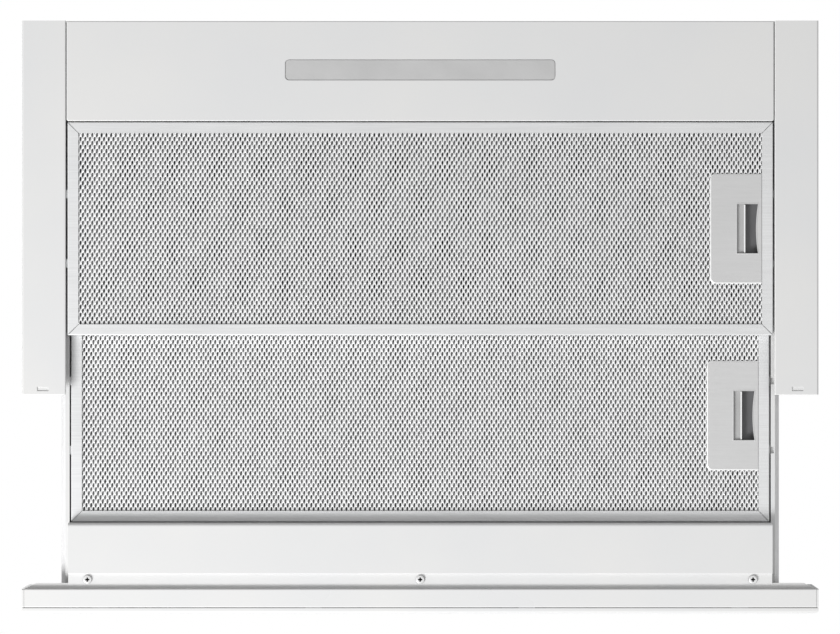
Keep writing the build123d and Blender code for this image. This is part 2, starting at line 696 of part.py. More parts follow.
def switch_block():
    """The row of switches that the buttons' stems press, fixed to the facia's rear wall."""
    contact = (6.0, 0.4)
    with BuildPart() as switches:
        depths = (FACIA_DEPTHS[0] + SHEET, SWITCH_BLOCK_DEPTH)
        block(around(BUTTONS_X, SWITCH_BLOCK_SIZE[0]), depths, around(BUTTONS_Z, SWITCH_BLOCK_SIZE[1]))
        fillet(switches.edges().filter_by(Axis.Y), radius=SWITCH_R)
        for index in range(len(BUTTON_NAMES)):
            pad_depths = (SWITCH_BLOCK_DEPTH, SWITCH_BLOCK_DEPTH + contact[1])
            block(around(button_x(index), contact[0]), pad_depths, around(BUTTONS_Z, contact[0]))
    return switches


# ---------------------------------------------------------------- grease filters


def filter_centre(cassette):
    """The depth of a cassette's centre line."""
    return cassette["depth"] + FILTER_LENGTH / 2


def from_border(cassette, us):
    """The x limits of a span given from the inner edge of the frame on the latch side."""
    inner_edge = -(cassette["half"] - FRAME_BORDER)
    return (inner_edge + us[0], inner_edge + us[1])


def above_filter(cassette, ws):
    """The z limits of a span given from a cassette's underside."""
    return (cassette["z"] + ws[0], cassette["z"] + ws[1])


def latch_block(cassette, us, vs, ws, mode=Mode.ADD):
    """A block in the latch's own directions."""
    centre = filter_centre(cassette)
    block(from_border(cassette, us), (centre + vs[0], centre + vs[1]), above_filter(cassette, ws), mode)


def filter_frame(cassette):
    """A mitred channel frame with two hinge tabs on its right and two slots for the latch's prongs."""
    half = cassette["half"]
    rear, front = cassette["depth"], cassette["depth"] + FILTER_LENGTH
    zs = above_filter(cassette, (0, FILTER_THICK))
    centre = filter_centre(cassette)
    with BuildPart() as frame:
        block((-half, half), (rear, front), zs)
        fillet(frame.edges().filter_by(Axis.Z), radius=FRAME_R[0])
        fillet(frame.faces().sort_by(Axis.Z)[0].edges(), radius=FRAME_R[1])
        window = (-(half - FRAME_BORDER), half - FRAME_BORDER)
        block(window, (rear + FRAME_BORDER, front - FRAME_BORDER), zs, Mode.SUBTRACT)
        channel = (-(half - FILTER_SHEET), half - FILTER_SHEET)
        depths = (rear + FILTER_SHEET, front - FILTER_SHEET)
        inside = above_filter(cassette, (FILTER_SHEET, FILTER_THICK - FILTER_SHEET))
        block(channel, depths, inside, Mode.SUBTRACT)
        for offset in (-TAB_V, TAB_V):
            tab = (half - FILTER_SHEET, half + cassette["tab"])
            block(tab, around(centre + offset, TAB_WIDTH), above_filter(cassette, TAB_W))
            slot_depths = around(centre + offset, TAB_WIDTH, TAB_FIT)
            slot = (-half - SHEET, -(half - SHEET))
            slot_w = (TAB_W[0] - TAB_FIT, TAB_W[1] + TAB_FIT)
            block(slot, slot_depths, above_filter(cassette, slot_w), Mode.SUBTRACT)
        for across in (-1, 1):
            for depth, inward in ((rear, 1), (front, -1)):
                run = (-across * FRAME_BORDER, inward * FRAME_BORDER)
                mitre_groove(across * half, depth, run, cassette["z"])
    return frame


def mitre_groove(x, depth, run, z):
    """A fine groove from a frame's outer corner to its inner one, on the underside."""
    along = Vector(run[0], -run[1], 0)
    width, deep = MITRE_GROOVE
    middle = Vector(x, rear_to_front(depth), z) + along * 0.5
    with Locations(Plane(middle, x_dir=along, z_dir=(0, 0, 1))):
        Box(along.length * 1.2, width, 2 * deep, mode=Mode.SUBTRACT)


def mesh_sheet(cassette, low, thickness, cut_for_latch):
    """One layer of expanded metal, drawn as a plain sheet held in the frame's channel."""
    half = cassette["half"] - FILTER_SHEET
    rear = cassette["depth"] + FILTER_SHEET
    front = cassette["depth"] + FILTER_LENGTH - FILTER_SHEET
    with BuildPart() as sheet:
        block((-half, half), (rear, front), above_filter(cassette, (low, low + thickness)))
        if cut_for_latch:
            cut = (-MESH_CUT_HALF, MESH_CUT_HALF)
            latch_block(cassette, MESH_CUT_U, cut, (low, low + thickness), Mode.SUBTRACT)
    return sheet


def latch_plate(cassette):
    """A flat plate with a finger window, and behind it a well that the slider runs through."""
    inner_edge = from_border(cassette, (0, 0))[0]
    origin = Vector(inner_edge, rear_to_front(filter_centre(cassette)), cassette["z"])
    base = Plane(origin + Vector(0, 0, PLATE_W[0]), z_dir=(0, 0, 1))
    wall_half = WINDOW_HALF + WELL_WALL
    near, far = WINDOW_U
    top, bottom = WINDOW_HALF, -WINDOW_HALF
    bead_width, bead_height = WINDOW_BEAD
    with BuildSketch(base) as window:
        with BuildLine():
            ThreePointArc((near, bottom), (near + WINDOW_BOW, 0), (near, top))
            Polyline((near, top), (far, top), (far, bottom), (near, bottom))
        make_face()
    with BuildPart() as plate:
        with BuildSketch(base) as outline:
            with Locations((sum(PLATE_U) / 2, 0)):
                Rectangle(PLATE_U[1] - PLATE_U[0], PLATE_WIDTH)
            fillet(outline.vertices().group_by(Axis.X)[-1], radius=PLATE_CORNER_R)
        extrude(amount=PLATE_W[1] - PLATE_W[0])
        underside = plate.faces().sort_by(Axis.Z)[0]
        free_edges = underside.edges().sort_by(Axis.X)[1:]
        chamfer(free_edges, length=PLATE_BEVEL[0], length2=PLATE_BEVEL[1], reference=underside)
        with BuildSketch(base):
            offset(window.sketch_local, amount=bead_width)
        extrude(amount=-bead_height)
        bead_face = plate.faces().sort_by(Axis.Z)[0]
        fillet(bead_face.edges(), radius=bead_height / 2)
        extrude(window.sketch, amount=PLATE_W[1], both=True, mode=Mode.SUBTRACT)
        outer_wall = (WINDOW_U[0] - WELL_WALL, WINDOW_U[0])
        latch_block(cassette, outer_wall, (-wall_half, wall_half), (PLATE_W[1], WELL_TOP_W))
        for side in (-1, 1):
            wall = (side * WINDOW_HALF, side * wall_half)
            latch_block(cassette, (outer_wall[0], WELL_NOTCH_U), wall, (PLATE_W[1], WELL_TOP_W))
            latch_block(cassette, (WELL_NOTCH_U, WELL_END_U), wall, (WELL_NOTCH_W, WELL_TOP_W))
        ceiling = (WELL_TOP_W - WELL_WALL, WELL_TOP_W)
        latch_block(cassette, (outer_wall[0], WELL_END_U), (-wall_half, wall_half), ceiling)
        post = (-SPRING_POST_HALF, SPRING_POST_HALF)
        latch_block(cassette, SPRING_POST_U, post, (PLATE_W[1], SPRING_W + SPRING_R))
    return plate


def latch_slider(cassette):
    """The sliding catch: a crossbar with a finger lip and two prongs that reach through the frame."""
    lip_thick, lip_half, lip_top = FINGER_LIP
    arm_end = -FRAME_BORDER - cassette["prong"]
    with BuildPart() as slider:
        reach = TAB_V + TAB_WIDTH / 2
        latch_block(cassette, SLIDER_U, (-reach, reach), TAB_W)
        for offset in (-TAB_V, TAB_V):
            latch_block(cassette, (arm_end, SLIDER_U[0]), around(offset, TAB_WIDTH), TAB_W)
        tips = slider.faces().sort_by(Axis.X)[:2]
        chamfer([tip.edges().sort_by(Axis.Z)[0] for tip in tips], length=PRONG_BEVEL)
        lip = (SLIDER_U[0], SLIDER_U[0] + lip_thick)
        latch_block(cassette, lip, (-lip_half, lip_half), (TAB_W[1], lip_top))
        latch_block(cassette, lip, (-lip_half, lip_half), (SLIDER_RIB_W, TAB_W[0]))
    return slider


def latch_spring(cassette):
    """The slider's return spring, drawn at its pressed length behind the slider."""
    start_x, end_x = from_border(cassette, SPRING_U)
    start = (start_x, rear_to_front(filter_centre(cassette)), cassette["z"] + SPRING_W)
    with BuildPart() as spring:
        with BuildLine() as coil:
            Helix(SPRING_PITCH, end_x - start_x, SPRING_R, center=start, direction=(1, 0, 0))
        with BuildSketch(coil.line ^ 0):
            Circle(SPRING_WIRE_R)
        sweep(path=coil.line, is_frenet=True)
    return spring


# ---------------------------------------------------------------- blower


def scroll_outline(face, shrink):
    """The blower's scroll, three arcs of growing radius and a straight throat, shrunk by a wall."""
    step = SCROLL_STEP
    radii = (SCROLL_R - shrink, SCROLL_R + step - shrink, SCROLL_R + 2 * step - shrink)
    top_centre = (-step / 2, -step / 2)
    low_centre = (step / 2, -step / 2)
    rear_centre = (step / 2, step / 2)
    top = (top_centre[0], top_centre[1] + radii[0])
    front = (top_centre[0] - radii[0], top_centre[1])
    bottom = (low_centre[0], low_centre[1] - radii[1])
    rear = (rear_centre[0] + radii[2], rear_centre[1])
    mouth = BODY_HEIGHT - SHEET - BLOWER_Z
    throat = THROAT_IN + shrink
    with BuildSketch(face) as outline:
        with BuildLine():
            RadiusArc(top, front, -radii[0])
            RadiusArc(front, bottom, -radii[1])
            RadiusArc(bottom, rear, -radii[2])
            Polyline(rear, (rear[0], mouth), (throat, mouth), (throat, top[1]), top)
        make_face()
    return outline.sketch


def volute_half(side):
    """One half of the blower's scroll, with its inlet ring and the flange under the roof."""
    face = Plane((0, rear_to_front(BLOWER_DEPTH), BLOWER_Z), x_dir=(0, 1, 0), z_dir=(1, 0, 0))
    flange, flange_thick = VOLUTE_FLANGE
    top = BODY_HEIGHT - SHEET
    throat_rear = BLOWER_DEPTH - SCROLL_STEP / 2 - SCROLL_R - 2 * SCROLL_STEP
    throat_front = BLOWER_DEPTH - THROAT_IN
    with BuildPart() as half:
        extrude(scroll_outline(face, 0), amount=side * VOLUTE_HALF)
        flange_x = (0, side * (VOLUTE_HALF + flange))
        block(flange_x, (throat_rear - flange, throat_front + flange), (top - flange_thick, top))
        hollow = side * (VOLUTE_HALF - VOLUTE_WALL)
        extrude(scroll_outline(face, VOLUTE_WALL), amount=hollow, mode=Mode.SUBTRACT)
        lip_x = (side * INLET_LIP_X, side * VOLUTE_HALF)
        rod_along_x(INLET_R + VOLUTE_WALL, lip_x, BLOWER_DEPTH, BLOWER_Z)
        rod_along_x(INLET_R, lip_x, BLOWER_DEPTH, BLOWER_Z, Mode.SUBTRACT)
    return half


def impeller():
    """A double squirrel-cage wheel: hub, middle disc, curved-forward blades and two end rings."""
    axis = Plane((0, rear_to_front(BLOWER_DEPTH), BLOWER_Z), x_dir=(0, 1, 0), z_dir=(1, 0, 0))
    inner_r = IMPELLER_R - BLADE_DEPTH
    with BuildPart() as wheel:
        with BuildSketch(axis.offset(-IMPELLER_HALF)):
            with PolarLocations(IMPELLER_R - BLADE_DEPTH / 2, BLADE_COUNT):
                Rectangle(BLADE_DEPTH, BLADE_THICK, rotation=BLADE_ANGLE)
        extrude(amount=2 * IMPELLER_HALF)
        for low in (-IMPELLER_HALF, IMPELLER_HALF - RING_WIDTH):
            with BuildSketch(axis.offset(low)):
                Circle(IMPELLER_R)
                Circle(inner_r, mode=Mode.SUBTRACT)
            extrude(amount=RING_WIDTH)
        rod_along_x(inner_r + 2, (-THIN_SHEET, THIN_SHEET), BLOWER_DEPTH, BLOWER_Z)
        rod_along_x(HUB_R, (-12, 3), BLOWER_DEPTH, BLOWER_Z)
        rod_along_x(SHAFT_R, (-12, 3), BLOWER_DEPTH, BLOWER_Z, Mode.SUBTRACT)
    return wheel


def motor_shaft():
    """The shaft that carries the impeller and turns in the motor."""
    with BuildPart() as shaft:
        rod_along_x(SHAFT_R, (-15, MOTOR_BORE_END - 0.5), BLOWER_DEPTH, BLOWER_Z)
        chamfer(shaft.faces().sort_by(Axis.X)[0].edges(), length=SHAFT_BEVEL)
    return shaft


def motor():
    """The motor inside the impeller's right half, ribbed along its length, with a rear boss."""
    rib_count, rib_width, rib_depth = 12, 5.0, 2.0
    axis = Plane((0, rear_to_front(BLOWER_DEPTH), BLOWER_Z), x_dir=(0, 1, 0), z_dir=(1, 0, 0))
    with BuildPart() as body:
        rod_along_x(MOTOR_R, MOTOR_X, BLOWER_DEPTH, BLOWER_Z)
        fillet(body.edges().filter_by(GeomType.CIRCLE), radius=MOTOR_EDGE_R)
        groove_x = (MOTOR_X[0] + 10, MOTOR_X[1] - 10)
        with BuildSketch(axis.offset(groove_x[0])):
            with PolarLocations(MOTOR_R - rib_depth / 2, rib_count):
                Rectangle(rib_depth, rib_width)
        extrude(amount=groove_x[1] - groove_x[0], mode=Mode.SUBTRACT)
        rod_along_x(10.0, (MOTOR_X[1] - 1, VOLUTE_HALF), BLOWER_DEPTH, BLOWER_Z)
        bore_x = (MOTOR_X[0] - 1, MOTOR_BORE_END)
        rod_along_x(SHAFT_R + SHAFT_CLEARANCE, bore_x, BLOWER_DEPTH, BLOWER_Z, Mode.SUBTRACT)
    return body


def motor_bracket():
    """A three-armed spider that holds the motor on the scroll's right side."""
    arm_reach, arm_width, thick = 47.0, 10.0, 2.5
    hub_r = 16.0
    face = Plane((VOLUTE_HALF, rear_to_front(BLOWER_DEPTH), BLOWER_Z), x_dir=(0, 1, 0), z_dir=(1, 0, 0))
    with BuildPart() as spider:
        with BuildSketch(face):
            Circle(hub_r)
            with PolarLocations(arm_reach / 2, 3, start_angle=30):
                Rectangle(arm_reach, arm_width)
        extrude(amount=thick)
    return spider


# ---------------------------------------------------------------- outlet


def outlet_collar():
    """The duct collar, with a flange on the roof, a seat for the flaps and their hinge pin."""
    place = (0, OUTLET_DEPTH)
    inner = COLLAR_R - COLLAR_WALL
    with BuildPart() as collar:
        rod_along_z(COLLAR_FLANGE_R, place, (BODY_HEIGHT, BODY_HEIGHT + COLLAR_FLANGE))
        rod_along_z(COLLAR_R, place, (BODY_HEIGHT, COLLAR_TOP))
        rod_along_z(inner, place, (BODY_HEIGHT, COLLAR_TOP), Mode.SUBTRACT)
        rod_along_z(inner, place, LEDGE_RING_Z)
        rod_along_z(inner - 3, place, LEDGE_RING_Z, Mode.SUBTRACT)
        pin_reach = inner + COLLAR_WALL / 2
        rod_along_x(FLAP_PIN_R, (-pin_reach, pin_reach), OUTLET_DEPTH, FLAP_PIN_Z)
    return collar


def damper_flap(side):
    """Half a disc that lies on the collar's seat, hung from the pin by two knuckles."""
    gap = KNUCKLE_R + 0.5
    own = KNUCKLE_X[::2] if side > 0 else KNUCKLE_X[1::2]
    centre = (0, rear_to_front(OUTLET_DEPTH))
    with BuildPart() as flap:
        with BuildSketch(Plane.XY.offset(FLAP_Z[0])):
            with Locations(centre):
                Circle(FLAP_R)
            with Locations((0, centre[1] + side * (gap - FLAP_R))):
                Rectangle(2 * FLAP_R, 2 * FLAP_R, mode=Mode.SUBTRACT)
        extrude(amount=FLAP_Z[1] - FLAP_Z[0])
        for x in own:
            span = around(x, KNUCKLE_LENGTH)
            block(span, (OUTLET_DEPTH, OUTLET_DEPTH - side * (gap + 1)), FLAP_Z)
            rod_along_x(KNUCKLE_R, span, OUTLET_DEPTH, FLAP_PIN_Z)
            rod_along_x(FLAP_PIN_R + 0.08, span, OUTLET_DEPTH, FLAP_PIN_Z, Mode.SUBTRACT)
    return flap


# ---------------------------------------------------------------- electrical parts


def capacitor():
    """The motor's run capacitor, a can on the rear wall with two terminals."""
    x, z = CAPACITOR_PLACE
    depth = SHEET + CAPACITOR_R
    end = x + CAPACITOR_LENGTH / 2
    with BuildPart() as can:
        rod_along_x(CAPACITOR_R, around(x, CAPACITOR_LENGTH), depth, z)
        fillet(can.edges().filter_by(GeomType.CIRCLE), radius=CAPACITOR_EDGE_R)
        for offset in (-5, 5):
            block((end, end + 8), around(depth, 0.8), around(z + offset, 6.3))
    return can


def terminal_box():
    """The mains connection box on the rear wall, with a lid that overhangs its body."""
    depths = (SHEET, SHEET + TERMINAL_BOX_SIZE[1])
    with BuildPart() as box:
        block(around(TERMINAL_BOX_X, TERMINAL_BOX_SIZE[0]), depths, TERMINAL_BOX_Z)
        fillet(box.edges().filter_by(Axis.Y), radius=TERMINAL_BOX_R)
        lid = (depths[1], depths[1] + 3)
        lid_z = (TERMINAL_BOX_Z[0] - 1.5, TERMINAL_BOX_Z[1])
        block(around(TERMINAL_BOX_X, TERMINAL_BOX_SIZE[0], 1.5), lid, lid_z)
    return box


def cable_gland():
    """The mains inlet: a threaded body through the roof and a domed nut with the cable's bore."""
    place = (TERMINAL_BOX_X, GLAND_DEPTH)
    nut_z, dome_z = 181.0, 189.0
    with BuildPart() as gland:
        rod_along_z(GLAND_R, place, (TERMINAL_BOX_Z[1], BODY_HEIGHT))
        with BuildSketch(Plane.XY.offset(BODY_HEIGHT)):
            with Locations((place[0], rear_to_front(place[1]))):
                RegularPolygon(GLAND_R + 4, 6)
        extrude(amount=nut_z - BODY_HEIGHT)
        rod_along_z(GLAND_R + 1, place, (nut_z, dome_z))
        fillet(gland.faces().sort_by(Axis.Z)[-1].edges(), radius=GLAND_EDGE_R)
        rod_along_z(GLAND_BORE_R, place, (TERMINAL_BOX_Z[1], dome_z), Mode.SUBTRACT)
    return gland


def drawer_switch():
    """The switch that the closing drawer presses, on a strap from the rear wall."""
    depth_mid = (PLUNGER_DEPTHS[0] - 2.5, SWITCH_DEPTHS[1])
    x_mid = sum(SWITCH_X) / 2
    z_mid = sum(SWITCH_Z) / 2
    with BuildPart() as switch:
        block(SWITCH_X, SWITCH_DEPTHS, SWITCH_Z)
        block(SWITCH_X, (SHEET, SWITCH_DEPTHS[1]), (SWITCH_Z[1], SWITCH_Z[1] + SHEET))
        with Locations((x_mid, rear_to_front(sum(depth_mid) / 2), z_mid)):
            bore_length = depth_mid[1] - depth_mid[0]
            Cylinder(PLUNGER_R + 0.08, bore_length, rotation=(90, 0, 0), mode=Mode.SUBTRACT)
    return switch


def switch_plunger():
    """The drawer switch's plunger."""
    length = PLUNGER_DEPTHS[1] - PLUNGER_DEPTHS[0]
    with BuildPart() as plunger:
        depth = sum(PLUNGER_DEPTHS) / 2
        with Locations((sum(SWITCH_X) / 2, rear_to_front(depth), sum(SWITCH_Z) / 2)):
            Cylinder(PLUNGER_R, length, rotation=(90, 0, 0))
        fillet(plunger.faces().sort_by(Axis.Y)[0].edges(), radius=PLUNGER_TIP_R)
    return plunger


# ---------------------------------------------------------------- every piece

os.makedirs("parts", exist_ok=True)

for word, direction in (("left", -1), ("right", 1)):
    save(side_trim(direction), f"side_trim_{word}")
    save(housing_side(direction), f"housing_side_{word}")
    save(slide_outer(direction), f"slide_outer_{word}")
    save(slide_inner(direction), f"slide_inner_{word}")
    save(ball_cage(direction), f"ball_cage_{word}")
    save(drawer_side(direction), f"drawer_side_{word}")
    save(volute_half(direction), f"volute_{word}")

save(housing_rear_wall(), "housing_rear_wall")
save(housing_top(), "housing_top")
save(housing_front_wall(), "housing_front_wall")
save(lamp_panel(), "lamp_panel")
save(lamp_lens(), "lamp_lens")
save(light_box(), "light_box")
save(lamp_circuit_board(), "lamp_circuit_board")
save(lamp_driver(), "lamp_driver")
save(slide_screws(), "slide_screws")
save(drawer_cover(), "drawer_cover")
save(drawer_front_tray(), "drawer_front_tray")
save(facia_box(), "facia_box")
save(facia_end_caps(), "facia_end_caps")
save(facia_front_panel(), "facia_front_panel")
save(facia_screws(), "facia_screws")
save(control_bezel(), "control_bezel")
save(switch_block(), "switch_block")
for number, button_name in enumerate(BUTTON_NAMES):
    save(push_button(number), f"button_{button_name}")

FACE_MESH_LOW = FILTER_SHEET
BACK_MESH_LOW = FILTER_THICK - FILTER_SHEET - BACK_MESH_THICK
for word, dims in (("rear", REAR_FILTER), ("front", FRONT_FILTER)):
    save(filter_frame(dims), f"{word}_filter_frame")
    save(mesh_sheet(dims, FACE_MESH_LOW, MESH_THICK, True), f"{word}_filter_face_mesh")
    save(mesh_sheet(dims, BACK_MESH_LOW, BACK_MESH_THICK, False), f"{word}_filter_back_mesh")
    save(latch_plate(dims), f"{word}_latch_plate")
    save(latch_slider(dims), f"{word}_latch_slider")
    save(latch_spring(dims), f"{word}_latch_spring")

save(impeller(), "impeller")
save(motor_shaft(), "motor_shaft")
save(motor(), "motor")
save(motor_bracket(), "motor_bracket")
save(outlet_collar(), "outlet_collar")
save(damper_flap(1), "damper_flap_rear")
save(damper_flap(-1), "damper_flap_front")
save(capacitor(), "capacitor")
save(terminal_box(), "terminal_box")
save(cable_gland(), "cable_gland")
save(drawer_switch(), "drawer_switch")
save(switch_plunger(), "switch_plunger")
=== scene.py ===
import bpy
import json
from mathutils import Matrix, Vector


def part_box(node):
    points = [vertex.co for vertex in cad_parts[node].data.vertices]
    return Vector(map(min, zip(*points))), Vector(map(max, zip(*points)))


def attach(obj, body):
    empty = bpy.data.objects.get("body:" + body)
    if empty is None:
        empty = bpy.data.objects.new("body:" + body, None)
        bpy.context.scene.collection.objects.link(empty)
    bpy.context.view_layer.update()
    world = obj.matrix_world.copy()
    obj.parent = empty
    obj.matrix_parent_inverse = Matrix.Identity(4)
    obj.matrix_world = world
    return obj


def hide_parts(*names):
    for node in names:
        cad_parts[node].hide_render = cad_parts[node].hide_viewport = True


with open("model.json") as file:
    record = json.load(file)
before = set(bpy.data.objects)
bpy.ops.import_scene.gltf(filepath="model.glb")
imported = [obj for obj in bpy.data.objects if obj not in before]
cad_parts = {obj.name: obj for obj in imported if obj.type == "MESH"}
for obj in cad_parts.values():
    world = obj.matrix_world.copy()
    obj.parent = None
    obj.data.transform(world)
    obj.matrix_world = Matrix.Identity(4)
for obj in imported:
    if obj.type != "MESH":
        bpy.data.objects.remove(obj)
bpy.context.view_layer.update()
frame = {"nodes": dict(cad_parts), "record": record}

# A slide-out range hood, seen squarely from below: its materials, expanded metal and studio.
# Lengths are in metres, in the frame of the CAD model.

import json
import math

import bpy
import numpy as np
from mathutils import Vector

NODES = frame["nodes"]
MM = 0.001

# Camera
CAMERA_BELOW = 2.5
CAMERA_X = 0.15 * MM
VIEW_WIDTH = 0.6304
SENSOR = 36.0
CLIP_END = 100.0

# Stage
FLOOR_Z = -6.0
FLOOR_SIZE = 90.0
FLOOR_GREY = 0.82
FLOOR_ROUGH = 0.9
BACKGROUND = 1.0
AMBIENT = 0.45

# Soft boxes, turned to the origin: a key below the hood from the front and +X, a weaker fill from -X,
# and one over the top. Each has its place, the length of its side, and its power in watts.
LIGHTS = {
    "key": ((1.7, -1.95, -1.85), 1.3, 118.0),
    "fill": ((-1.6, -0.6, -2.2), 1.6, 9.0),
    "top": ((1.1, -0.3, 2.7), 2.4, 26.0),
}

# Expanded metal of the filters: pitch as width and height, hole as width, height and slant, how far
# knots and strands stand below the sheet, and how finely points are compared when they are joined
METAL = 0.12 * MM
FRAME_COVER = 6.3 * MM
PLATE_LAP = 3.2 * MM
BEYOND = 1.0
FACE_PITCH = (3.53 * MM, 6.0 * MM)
FACE_HOLE = (1.42 * MM, 3.9 * MM, -0.14)
FACE_DROPS = (0.26 * MM, 0.42 * MM, 0.12 * MM)
FACE_Z = 0.44 * MM
CORE_PITCH = (3.95 * MM, 6.7 * MM)
CORE_HOLE = (2.3 * MM, 4.3 * MM, 0.0)
CORE_Z = 4.0 * MM
BACK_Z = 0.4 * MM
HOLE_SEED = 3
HOLE_SPREAD = (0.94, 1.06)
JOIN_STEPS = 1e6

# Patterns of the finishes: the part of a noise that is spread from one shade to the other, the
# stretch of scratches and rolling lines, and the sockets of a colour mix node
WHOLE_BAND = (0.0, 1.0)
SHADE_BAND = (0.35, 0.65)
GLOSS_BAND = (0.3, 0.7)
GRAIN_BAND = (0.25, 0.75)
PYRAMID_BAND = (0.0, 0.6)
EVEN = (1.0, 1.0, 1.0)
ALONG_X = (0.03, 1.0, 1.0)
ALONG_Y = (1.0, 0.03, 1.0)
ROLLED = (0.05, 1.0, 1.0)
PLATE_BRUSHED = (0.06, 1.0, 1.0)
MIX_FIRST, MIX_SECOND, MIX_RESULT = 6, 7, 2

# Colours of the finishes, and factors for the two shades that a finish makes from its own colour
PAINT_WARM = (1.0, 0.998, 0.99)
PAINT_COOL = (0.975, 0.98, 0.985)
ZINC_SHADES = (0.86, 1.10)
METAL_SHADES = (0.92, 1.05)
PLASTIC_SHADES = (0.93, 1.06)
PLASTIC_LIFT = 0.004
PLATE_SATIN = (0.63, 0.66)
# The plate's bevel grey is a painted highlight, and its well colour is painted shade
PLATE_BEVEL_HIGHLIGHT_GREY = 0.86
PLATE_WELL_SHADE_COLOUR = (0.15, 0.15, 0.155)
SLIDER_GREYS = (0.40, 0.45)
# The slider's rib grey is a painted highlight
SLIDER_RIB_HIGHLIGHT_GREY = 0.86
SCREW_GREYS = (0.78, 0.86)
# The screws' recess grey is painted shade
SCREW_RECESS_SHADE_GREY = 0.02
LENS_GREYS = (0.50, 0.54)
BOARD_COLOURS = {
    "Color1": (0.80, 0.82, 0.79),
    "Color2": (0.84, 0.85, 0.82),
    "Mortar": (0.66, 0.68, 0.62),
}

# How rough and how metallic the finishes go from and to
PLATE_ROUGH = (0.42, 0.5)
PLATE_METALLIC = (0.35, 0.0)
SLIDER_ROUGH = (0.40, 0.52)
SCREW_ROUGH = (0.28, 0.38)
LENS_ROUGH = (0.32, 0.46)

# Heights above a node's lowest point at which its finish changes: painted highlights on the plate's bevel
# and the slider's rib, painted shade in the plate's finger well and the screws' cross recess
PLATE_BEVEL_HIGHLIGHT_HEIGHTS = (0.25 * MM, 0.32 * MM)
PLATE_WELL_SHADE_HEIGHTS = (1.0 * MM, 1.8 * MM)
SLIDER_RIB_HIGHLIGHT_HEIGHTS = (0.3 * MM, 0.5 * MM)
SCREW_RECESS_SHADE_HEIGHTS = (0.45 * MM, 0.9 * MM)


# ---------------------------------------------------------------- node helpers


class Material:
    """A node material with short calls for the nodes it is made of."""

    def __init__(self, name):
        self.made = bpy.data.materials.new(name)
        self.made.use_nodes = True
        self.tree = self.made.node_tree
        self.tree.nodes.clear()
        self.output = self.tree.nodes.new("ShaderNodeOutputMaterial")
        self.shader = self.tree.nodes.new("ShaderNodeBsdfPrincipled")
        self.link(self.shader.outputs["BSDF"], self.output.inputs["Surface"])

    def link(self, source, target):
        self.tree.links.new(source, target)

    def fill(self, socket, value):
        """Link a socket, or set it, with a colour given as three numbers made opaque."""
        if isinstance(value, bpy.types.NodeSocket):
            self.link(value, socket)
        elif socket.type == "RGBA":
            socket.default_value = (*value, 1.0)
        else:
            socket.default_value = value

    def add(self, kind, **values):
        """A node of this kind with its sockets set by name, or linked where a socket is given."""
        node = self.tree.nodes.new(kind)
        for key, value in values.items():
            self.fill(node.inputs[key.replace("_", " ")], value)
        return node

    def place(self, stretch=EVEN):
        """The surface's own place in metres, stretched."""
        here = self.add("ShaderNodeTexCoord").outputs["Object"]
        return self.add("ShaderNodeMapping", Vector=here, Scale=stretch).outputs["Vector"]

    def noise(self, scale, detail, rough=0.5, stretch=EVEN):
        """Cloudy noise, with scale as the number of its features in a metre."""
        place = self.place(stretch)
        node = self.add("ShaderNodeTexNoise", Vector=place, Scale=scale, Detail=detail, Roughness=rough)
        return node.outputs["Fac"]

    def remap(self, value, band, span=WHOLE_BAND):
        """The value spread from a band of it to a span, and held at the span's ends."""
        node = self.add("ShaderNodeMapRange", Value=value, From_Min=band[0], From_Max=band[1])
        node.inputs["To Min"].default_value, node.inputs["To Max"].default_value = span
        return node.outputs["Result"]

    def blend(self, factor, first, second):
        """The colour between first and second, each a colour or a socket."""
        node = self.tree.nodes.new("ShaderNodeMix")
        node.data_type = "RGBA"
        self.link(factor, node.inputs["Factor"])
        self.fill(node.inputs[MIX_FIRST], first)
        self.fill(node.inputs[MIX_SECOND], second)
        return node.outputs[MIX_RESULT]

    def height_above(self, level, heights):
        """A factor that goes from 0 to 1 between two heights above a level of the CAD frame."""
        height = self.add("ShaderNodeSeparateXYZ", Vector=self.place()).outputs["Z"]
        return self.remap(height, (level + heights[0], level + heights[1]))

    def bump(self, height, strength, depth):
        """The normal of a surface with this height on it, depth in metres from lowest to highest."""
        node = self.add("ShaderNodeBump", Height=height, Strength=strength, Distance=depth)
        return node.outputs["Normal"]

    def set(self, **values):
        """Set or link the shader's own sockets."""
        for key, value in values.items():
            self.fill(self.shader.inputs[key.replace("_", " ")], value)


# ---------------------------------------------------------------- materials


def grey(level):
    return (level, level, level)


def scaled(colour, factor, lift=0.0):
    """The colour times a factor, with a lift added, and no part of it above white."""
    return tuple(min(1.0, c * factor + lift) for c in colour)


def tinted(colour, tint):
    """The colour with each of its parts times that part of the tint."""
    return tuple(c * k for c, k in zip(colour, tint))


def around(middle, below, above):
    """The span that reaches this far below and above a middle value."""
    return (middle - below, middle + above)


def powder_coat(name, colour, rough=0.42, grain=1.0):
    """Sprayed white paint: fine orange peel, faint clouds of gloss and very faint shade changes."""
    m = Material(name)
    clouds = m.noise(scale=9.0, detail=3.0)
    peel = m.noise(scale=1400.0, detail=2.0)
    cool, warm = tinted(colour, PAINT_COOL), tinted(colour, PAINT_WARM)
    m.set(Base_Color=m.blend(m.remap(clouds, SHADE_BAND), cool, warm))
    m.set(Roughness=m.remap(clouds, GLOSS_BAND, around(rough, below=0.05, above=0.06)))
    m.set(Normal=m.bump(peel, strength=0.10 * grain, depth=0.15 * MM))
    m.set(Coat_Weight=0.12, Coat_Roughness=0.28)
    return m.made


